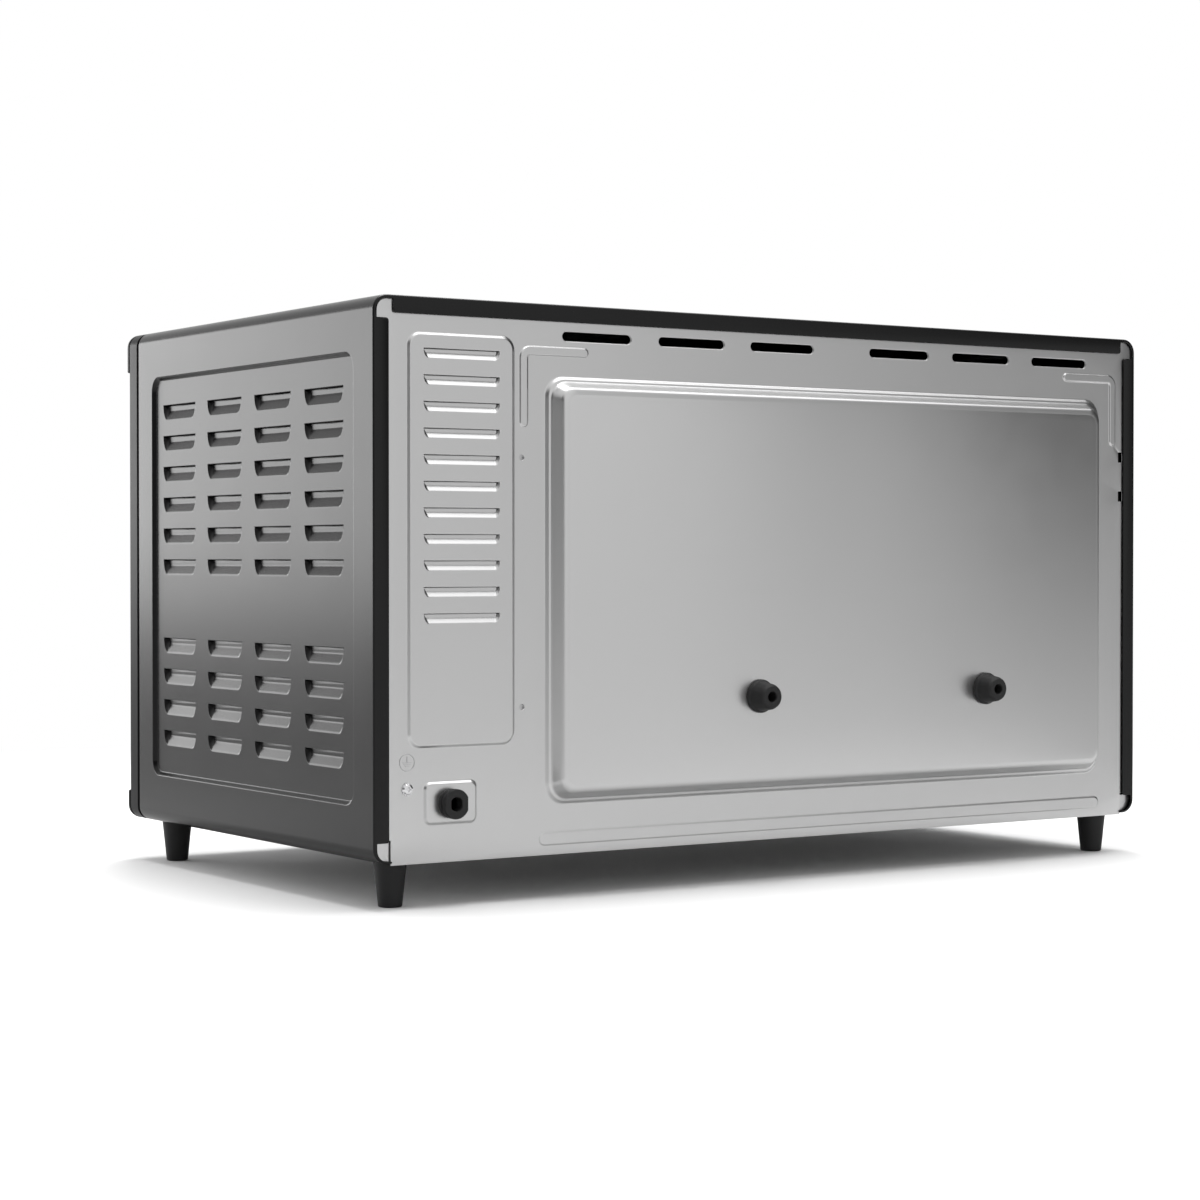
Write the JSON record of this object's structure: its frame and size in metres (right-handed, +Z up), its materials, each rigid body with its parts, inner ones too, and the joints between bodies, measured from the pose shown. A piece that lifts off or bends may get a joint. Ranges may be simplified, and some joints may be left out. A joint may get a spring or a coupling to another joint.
{
  "type": "toaster oven",
  "caption": "Countertop toaster oven with a louvred dark wrap, bulged metal back, drop-down glass door, control knobs, wire rack and crumb tray.",
  "frame": {"origin": "centre of the bounding box at the table plane under the feet", "axes": "+X to the right seen from the front (door side), +Y towards the back panel, +Z up"},
  "size_m": [0.55, 0.371, 0.3255],
  "materials": {
    "painted_steel": "satin black paint",
    "galvanised_steel": "galvanised sheet",
    "cavity_steel": "bright sheet",
    "black_moulding": "black satin moulding",
    "chromed_wire": "bright chrome",
    "handle_metal": "brushed aluminium",
    "black_rubber": "matte black rubber",
    "tempered_glass": "tinted tempered glass",
    "ceramic": "ceramic",
    "element_sheath": "dark oxidised sheath",
    "tray_enamel": "dark enamel",
    "brass": "bright",
    "red_jewel": "clear red"
  },
  "bodies": {
    "oven_body": {"outer_wrap": "painted_steel", "rear_panel": "galvanised_steel", "base_plate": "galvanised_steel", "front_frame": "black_moulding", "top_trim": "black_moulding", "bottom_trim": "black_moulding", "cavity_left_wall": "cavity_steel", "cavity_right_wall": "cavity_steel", "cavity_top": "cavity_steel", "upper_heating_element": "element_sheath", "lower_heating_element": "element_sheath", "upper_front_bushing": "ceramic", "upper_back_bushing": "ceramic", "lower_front_bushing": "ceramic", "lower_back_bushing": "ceramic", "upper_element_clip": "cavity_steel", "lower_element_clip": "cavity_steel", "control_panel": "black_moulding", "thermostat_body": "cavity_steel", "thermostat_sensor": "brass", "function_switch": "black_moulding", "timer_body": "black_moulding", "timer_bell": "brass", "indicator_lens": "red_jewel", "indicator_lamp": "tempered_glass", "terminal_block": "ceramic", "wiring_harness": "black_rubber", "cord_gland": "black_moulding", "earth_screw": "chromed_wire", "rear_bumper_left": "black_rubber", "rear_bumper_right": "black_rubber", "foot_front_left": "black_rubber", "foot_front_right": "black_rubber", "foot_back_left": "black_rubber", "foot_back_right": "black_rubber"},
    "door": {"door_frame": "black_moulding", "door_glass": "tempered_glass", "door_glass_retainer": "cavity_steel", "door_hinge_pin_left": "chromed_wire", "door_hinge_pin_right": "chromed_wire", "handle_bar": "handle_metal", "handle_post_left": "handle_metal", "handle_post_right": "handle_metal"},
    "temperature_control": {"temperature_knob": "black_moulding", "temperature_shaft": "cavity_steel"},
    "function_control": {"function_knob": "black_moulding", "function_shaft": "cavity_steel"},
    "timer_control": {"timer_knob": "black_moulding", "timer_shaft": "cavity_steel"},
    "rack": {"wire_rack": "chromed_wire", "baking_tray": "tray_enamel"},
    "crumb_drawer": {"crumb_tray": "galvanised_steel"}
  },
  "joints": [
    {"name": "door_hinge", "type": "hinge", "parent": "oven_body", "child": "door", "pos_m": [-0.039, -0.1425, 0.0516], "axis": [1, 0, 0], "range_deg": [0, 90]},
    {"name": "temperature_turn", "type": "hinge", "parent": "oven_body", "child": "temperature_control", "pos_m": [0.225, -0.151, 0.24003], "axis": [0, 1, 0], "range_deg": [0, 290]},
    {"name": "function_turn", "type": "hinge", "parent": "oven_body", "child": "function_control", "pos_m": [0.225, -0.151, 0.17008], "axis": [0, 1, 0], "range_deg": [0, 240]},
    {"name": "timer_turn", "type": "hinge", "parent": "oven_body", "child": "timer_control", "pos_m": [0.225, -0.151, 0.10012], "axis": [0, 1, 0], "range_deg": [-30, 300]},
    {"name": "rack_slide", "type": "slide", "parent": "oven_body", "child": "rack", "axis": [0, -1, 0], "range_m": [0, 0.1]},
    {"name": "crumb_tray_slide", "type": "slide", "parent": "oven_body", "child": "crumb_drawer", "axis": [0, -1, 0], "range_m": [0, 0.25]}
  ],
  "couplings": [
    {"joint": "rack_slide", "follows": "door_hinge", "m_per_rad": 0.0636}
  ]
}
